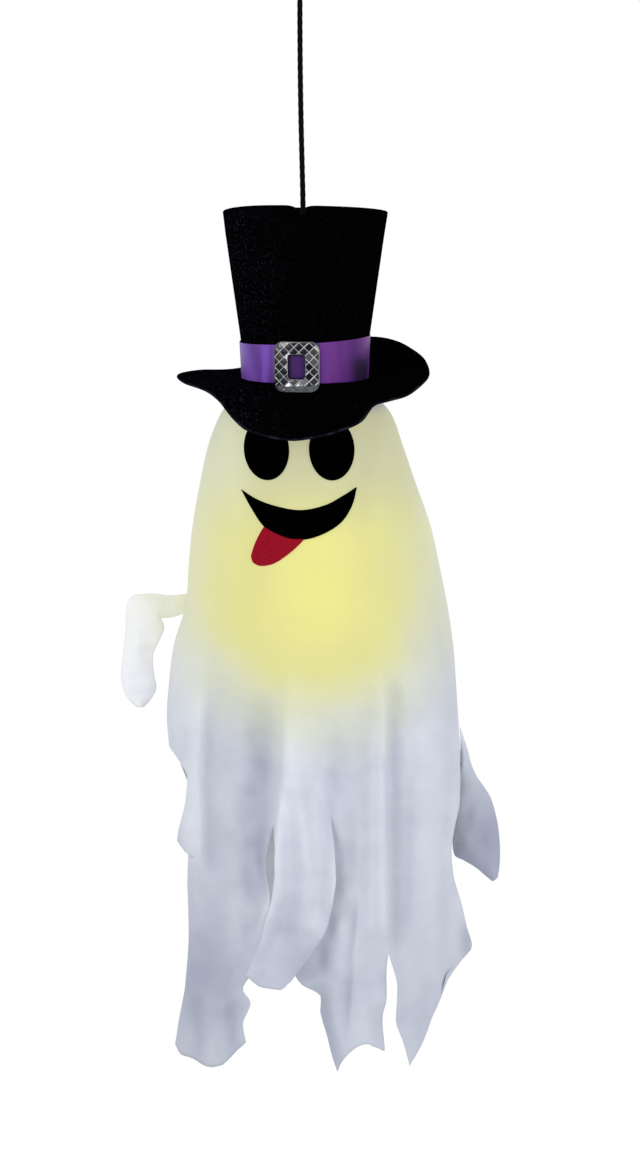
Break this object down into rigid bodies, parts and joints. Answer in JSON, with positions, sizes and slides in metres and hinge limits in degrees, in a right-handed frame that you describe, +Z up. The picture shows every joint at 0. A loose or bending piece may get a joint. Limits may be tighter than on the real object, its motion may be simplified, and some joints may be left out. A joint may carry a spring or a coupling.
{
  "type": "hanging ghost decoration",
  "caption": "Cloth ghost with a felt face under a buckled felt top hat, hung on a cord, over a wire frame with a battery lamp inside.",
  "frame": {"origin": "inside top of the hanging loop, where a hook carries the object", "axes": "+Z up along the cord, the face looks along -Y, +X to the viewer's right"},
  "size_m": [0.3796, 0.2922, 1.1205],
  "materials": {
    "cord": "black braided cord",
    "hat_felt": "matt black felt",
    "satin": "purple satin",
    "chrome": "bright chrome with raised lattice",
    "face_felt": "matt black felt",
    "tongue_felt": "red felt",
    "cloth": "thin white polyester cloth",
    "frame_plastic": "moulded white",
    "wire": "bright drawn wire",
    "case_plastic": "moulded white",
    "cell": "printed jacket, left plain",
    "brass": "bright",
    "steel": "bright",
    "board": "green circuit board",
    "led": "warm clear dome",
    "diffuser": "frosted, glows warm yellow",
    "lead": "black sleeve"
  },
  "bodies": {
    "hanger": {"hang_loop": "cord"},
    "knot": {"loop_knot": "cord"},
    "cord": {"hang_cord": "cord", "cord_end_knot": "cord"},
    "ghost": {"hat_crown": "hat_felt", "hat_top": "hat_felt", "hat_band": "satin", "hat_brim": "hat_felt", "hat_buckle": "chrome", "drape_front": "cloth", "drape_back": "cloth", "left_sleeve": "cloth", "right_sleeve": "cloth", "left_eye": "face_felt", "right_eye": "face_felt", "mouth": "face_felt", "tongue": "tongue_felt", "frame_hub": "frame_plastic", "rib_1": "wire", "rib_2": "wire", "rib_3": "wire", "rib_4": "wire", "body_hoop": "wire", "lamp_bracket": "frame_plastic", "battery_case": "case_plastic", "contact_plate_lower": "brass", "contact_plate_upper": "brass", "battery_1": "cell", "battery_2": "cell", "battery_3": "cell", "lamp_stem": "case_plastic", "led_lead": "lead", "globe_cap": "case_plastic", "led_board": "board", "led_1": "led", "led_2": "led", "led_3": "led", "globe": "diffuser"},
    "switch": {"power_switch": "steel"},
    "cover": {"battery_cover": "case_plastic"},
    "screw": {"cover_screw": "steel"}
  },
  "joints": [
    {"name": "swing_fore_aft", "type": "hinge", "parent": "hanger", "child": "knot", "pos_m": [0, 0, -0.0353], "axis": [1, 0, 0], "range_deg": [-20, 20]},
    {"name": "swing_side", "type": "hinge", "parent": "knot", "child": "cord", "pos_m": [0, 0, -0.0353], "axis": [0, 1, 0], "range_deg": [-20, 20]},
    {"name": "ghost_turn", "type": "hinge", "parent": "cord", "child": "ghost", "pos_m": [0.003, 0, -0.425], "axis": [0, 0, 1], "continuous": true},
    {"name": "switch_slide", "type": "slide", "parent": "ghost", "child": "switch", "axis": [0, 0, 1], "range_m": [0, 0.004]},
    {"name": "cover_tilt", "type": "hinge", "parent": "ghost", "child": "cover", "pos_m": [0.003, 0.00875, -0.5033], "axis": [-1, 0, 0], "range_deg": [0, 70]},
    {"name": "screw_turn", "type": "hinge", "parent": "cover", "child": "screw", "pos_m": [0.003, 0.009, -0.4511], "axis": [0, 1, 0], "continuous": true}
  ]
}
